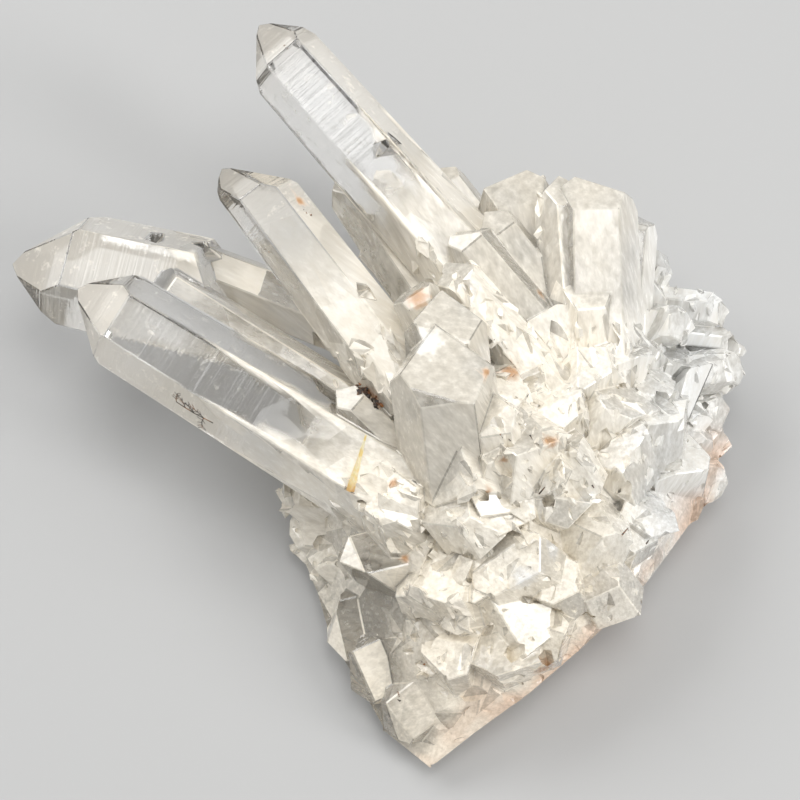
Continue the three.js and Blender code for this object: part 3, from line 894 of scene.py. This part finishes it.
on_points, smooth, milk = (painted(tree, name) for name in ("on_points", "smooth", "milk"))
print("fibres run out from", [round(x / MM) for x in GROWTH_START], "mm")

# %% Surface relief: growth lines, broken facets and fine hackle
FACET_SCALE = 0.34
FACET_TILT = 0.36
LEAST_TILT = 0.01
RELIEF = {"Strength": 0.45, "Distance": 0.22 * MM}
facet_sockets = {"Vector": fibre_place, "Scale": FACET_SCALE}
facets = add(tree, "ShaderNodeTexVoronoi", {"feature": "F1"}, facet_sockets, out=1)
tilt_size = (1 - on_points) * (1 - smooth * 0.85) * FACET_TILT + LEAST_TILT
tilt_sockets = {0: vector_math(tree, "SUBTRACT", facets, (0.5, 0.5, 0.5)), "Scale": tilt_size}
facet_tilt = add(tree, "ShaderNodeVectorMath", {"operation": "SCALE"}, tilt_sockets)
flat_normal = add(tree, "ShaderNodeNewGeometry", out=1)
facet_normal = vector_math(tree, "NORMALIZE", vector_math(tree, "ADD", flat_normal, facet_tilt))
relief = streaks * (1 - on_points) * (1 - smooth * 0.6)
bump_sockets = {**RELIEF, "Height": relief, "Normal": facet_normal}
surface_normal = add(tree, "ShaderNodeBump", {}, bump_sockets)
print("relief is at most", RELIEF["Distance"] / MM, "mm high")

# %% Colour of the milky and the clear quartz
grain_share = 0.6 + (streaks.ramp(0.32, 0.66) - 0.6) * (1 - smooth * 0.3)
grain = mix_colours(tree, grain_share, SHADE, FLECK)
milky_colour = mix_colours(tree, 1.0, painted(tree, "stone_colour", 0), grain, "MULTIPLY")
milky_roughness = 0.12 + streaks * 0.25
uneven = (streaks - 0.5) * 0.5 * (1 - on_points)
stone_share = (milk + uneven + painted(tree, "frost")).clamped()

clear_glass = add(tree, "ShaderNodeBsdfPrincipled", {}, {
    "Base Color": CLEAR, "Roughness": 0.04, "IOR": QUARTZ_IOR,
    "Transmission Weight": 1.0, "Normal": surface_normal,
})
milky_stone = add(tree, "ShaderNodeBsdfPrincipled", {}, {
    "Base Color": milky_colour, "Roughness": milky_roughness, "IOR": QUARTZ_IOR,
    "Coat Weight": 1.0, "Coat Roughness": 0.14, "Normal": surface_normal,
})
blended = add(tree, "ShaderNodeMixShader", {}, [stone_share, clear_glass, milky_stone])
tree.links.new(blended.socket, output.inputs["Surface"])
print("quartz finish has", len(tree.nodes), "nodes")

# %% [markdown]
# Light crosses the clear points many times, and each crossing works the finish out anew. So
# their faces get a finish of their own with the few nodes that they need. It has the same values
# as the finish above has there, so no seam shows.

# %% The finish of the clear points
LINE_SCALE = 2.4
WISP_SHARE = 0.42

clear_quartz, tree, output = new_material("clear_quartz")
where = place_in_mm(tree)
wisps = noise_at(tree, where, 0.55, 3.0, 0.62)
line_sockets = {"W": painted(tree, "growth_line"), "Scale": LINE_SCALE, "Detail": 1.0}
lines = add(tree, "ShaderNodeTexNoise", {"noise_dimensions": "1D"}, line_sockets)
surface_normal = add(tree, "ShaderNodeBump", {}, {**RELIEF, "Height": lines * 0.5})
glass_colour = mix_colours(tree, painted(tree, "smoke"), CLEAR, SMOKE)
clear_glass = add(tree, "ShaderNodeBsdfPrincipled", {}, {
    "Base Color": glass_colour, "Roughness": 0.015, "IOR": QUARTZ_IOR,
    "Transmission Weight": 1.0, "Normal": surface_normal,
})
veil = add(tree, "ShaderNodeBsdfPrincipled", {}, {
    "Base Color": painted(tree, "stone_colour", 0), "Roughness": 0.3, "IOR": QUARTZ_IOR,
    "Normal": surface_normal,
})
veil_share = wisps.ramp(0.56, 0.80) * WISP_SHARE + painted(tree, "milk") + painted(tree, "frost")
veil_share = veil_share.clamped()
blended = add(tree, "ShaderNodeMixShader", {}, [veil_share, clear_glass, veil])
tree.links.new(blended.socket, output.inputs["Surface"])

cluster.data.materials.clear()
cluster.data.materials.append(quartz)
cluster.data.materials.append(clear_quartz)
for face in cluster.data.polygons:
    face.material_index = int(min(on_points_at[i] for i in face.vertices) > ALL_CLEAR)
clear_faces = sum(face.material_index for face in cluster.data.polygons)
print("clear finish on", clear_faces, "faces")

# %% [markdown]
# ## Ore grains, needles and a dendrite
# Iron and manganese ores grow along with quartz: rusty crumbs in a crevice, a few black grains,
# dark needles near the rim, and on the front point a dendrite, which branches like a fern. They
# are real grains, so they are small closed shapes, half sunk in the quartz that carries them.
# Rays from the camera find their places, and the same few helpers build them all.

# %% Helpers for grains and strokes
ORE_SEED = 19
SUNK = 0.3
GRAIN_CORNERS = 9
BRANCH_STEPS = 4
FORK_CHANCE = 0.8


def add_grain(bm, place, size, rnd):
    """A lump with flat faces, half sunk at a place."""
    corners = []
    for _ in range(GRAIN_CORNERS):
        way = Vector([rnd.gauss(0, 1) for _ in range(3)]).normalized()
        corners.append(place + way * size * rnd.uniform(0.35, 0.55))
    add_closed_hull(bm, corners)


def add_stroke(bm, first, last, widths, up):
    """A thin, straight stroke from one place to another, half sunk in the surface."""
    side = (last - first).cross(up).normalized()
    corners = []
    for place, width in zip((first, last), widths):
        corners += [place + side * width / 2, place - side * width / 2]
        corners += [place + up * width * SUNK, place - up * width * SUNK]
    add_closed_hull(bm, corners)


def add_branch(bm, start, way, length, width, up, rnd, forks):
    """A crooked branch in the plane of a face, with side branches while forks lasts."""
    place = start
    for _ in range(BRANCH_STEPS):
        way = Matrix.Rotation(rnd.uniform(-0.3, 0.3), 3, up) @ way
        end = place + way * length / BRANCH_STEPS
        add_stroke(bm, place, end, (width, width * 0.8), up)
        for turn in (-1, 1) if forks else ():
            if rnd.random() < FORK_CHANCE:
                aside = Matrix.Rotation(turn * rnd.uniform(0.6, 1.1), 3, up) @ way
                reach = length * rnd.uniform(0.25, 0.42)
                add_branch(bm, end, aside, reach, width * 0.7, up, rnd, forks - 1)
        place = end


# %% Grains, needles and the dendrite
# Each group: the pixels that it runs between, its count, its sizes in mm, and its stray in pixels.
ORE_GROUPS = {
    "crumbs_in_the_crevice": (((358, 386), (381, 406)), 30, (0.6, 1.3), 3.5),
    "at_the_top_tip": (((283, 45), (289, 49)), 5, (0.2, 0.4), 1.0),
    "on_the_middle_point": (((304, 209), (312, 215)), 5, (0.2, 0.5), 2.0),
    "lower_on_the_middle_point": (((264, 248), (272, 252)), 4, (0.2, 0.4), 1.5),
    "by_the_middle_tip": (((225, 196), (227, 198)), 2, (0.3, 0.4), 0.5),
    "red_grain": (((509, 439), (511, 441)), 2, (0.3, 0.4), 0.3),
    "at_the_stump": (((379, 403), (382, 406)), 3, (0.3, 0.5), 1.0),
    "lower_black": (((421, 661), (425, 665)), 2, (0.3, 0.45), 0.5),
    "near_the_foot": (((396, 690), (400, 703)), 6, (0.25, 0.5), 1.5),
}
NEEDLES = [
    ((628, 530), (626, 545)), ((622, 535), (628, 528)), ((646, 544), (649, 540)), ((530, 435), (537, 449)),
    ((539, 494), (545, 487)), ((592, 485), (594, 488)), ((500, 434), (503, 438)),
]
NEEDLE_WIDTH = 0.26 * MM
DENDRITE_PIXELS = ((213, 423), (176, 404))
DENDRITE_WIDTH = 0.24 * MM
DENDRITE_FORKS = 2

rnd = random.Random(ORE_SEED)
bm = bmesh.new()
for ((x0, y0), (x1, y1)), count, size, spread in ORE_GROUPS.values():
    for k in range(count):
        share = (k + 0.5) / count
        stray = [rnd.uniform(-1, 1) * spread for _ in range(2)]
        place, _ = seen_at((x0 + (x1 - x0) * share + stray[0], y0 + (y1 - y0) * share + stray[1]))
        if place is not None:
            add_grain(bm, place, rnd.uniform(*size) * MM, rnd)
for first_pixel, last_pixel in NEEDLES:
    (first, up), (last, _) = seen_at(first_pixel), seen_at(last_pixel)
    if first is not None and last is not None:
        add_stroke(bm, first, last, (NEEDLE_WIDTH, NEEDLE_WIDTH * 0.5), up)
(foot, up), (head, _) = (seen_at(pixel) for pixel in DENDRITE_PIXELS)
stem = head - foot
add_branch(bm, foot, stem.normalized(), stem.length, DENDRITE_WIDTH, up, rnd, DENDRITE_FORKS)
ore_mesh = bpy.data.meshes.new("ore_grains")
bm.to_mesh(ore_mesh)
bm.free()
ore_grains = link("ore_grains", ore_mesh)

BLACK_ORE = (0.035, 0.025, 0.02, 1)
RED_ORE = (0.36, 0.15, 0.05, 1)
ore, tree, output = new_material("dark_ore")
patches = noise_at(tree, place_in_mm(tree), 1.1, 3.0, 0.6)
sheen = add(tree, "ShaderNodeBsdfPrincipled", {}, {
    "Base Color": mix_colours(tree, patches.ramp(0.45, 0.68), BLACK_ORE, RED_ORE),
    "Roughness": 0.45 + patches * 0.3,
})
tree.links.new(sheen.socket, output.inputs["Surface"])
ore_mesh.materials.append(ore)
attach(ore_grains, BODY)
print("ore grains have", len(ore_mesh.polygons), "faces")

# %% [markdown]
# ## The splinter
# One thin splinter, yellow with iron, is wedged under the front point. It keeps the place of its
# solid, with a rougher skin and dark red colour at its foot.

# %% Splinter
SPLINTER_CUTS = 3
SPLINTER_ROUGHNESS = 0.12 * MM
DEEP_YELLOW = (0.86, 0.66, 0.27, 1)
PALE_YELLOW = (0.93, 0.83, 0.58, 1)
RED_FOOT = (0.55, 0.24, 0.06, 1)
FOOT_HEIGHT = (29.8, 31.6)

splinter_mesh = merged_copy(SPLINTER_NODE)
bm = bmesh.new()
bm.from_mesh(splinter_mesh)
bmesh.ops.triangulate(bm, faces=bm.faces)
bmesh.ops.subdivide_edges(bm, edges=bm.edges, cuts=SPLINTER_CUTS, use_grid_fill=True)
for v in bm.verts:
    v.co += v.normal * noise.noise(v.co / MM * 1.3) * SPLINTER_ROUGHNESS
bm.to_mesh(splinter_mesh)
bm.free()
splinter = link("stained_splinter", splinter_mesh)

stained, tree, output = new_material("iron_stained_quartz")
where = place_in_mm(tree)
patches = noise_at(tree, where, 0.9, 4.0, 0.6)
yellow = mix_colours(tree, patches.ramp(0.35, 0.65), DEEP_YELLOW, PALE_YELLOW)
height = add(tree, "ShaderNodeSeparateXYZ", {}, [where], out=2)
yellow = mix_colours(tree, (1 - height.ramp(*FOOT_HEIGHT)) * 0.85, yellow, RED_FOOT)
ridges = add(tree, "ShaderNodeBump", {}, {"Strength": 0.5, "Distance": 0.0002, "Height": patches})
skin_shader = add(tree, "ShaderNodeBsdfPrincipled", {}, {
    "Base Color": yellow, "Roughness": 0.38, "Subsurface Weight": 0.3,
    "Subsurface Radius": (0.8, 0.6, 0.3), "Subsurface Scale": 0.8 * MM, "Normal": ridges,
})
tree.links.new(skin_shader.socket, output.inputs["Surface"])
splinter.data.materials.append(stained)
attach(splinter, BODY)
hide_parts(SPLINTER_NODE)
print("splinter faces:", len(splinter_mesh.polygons))
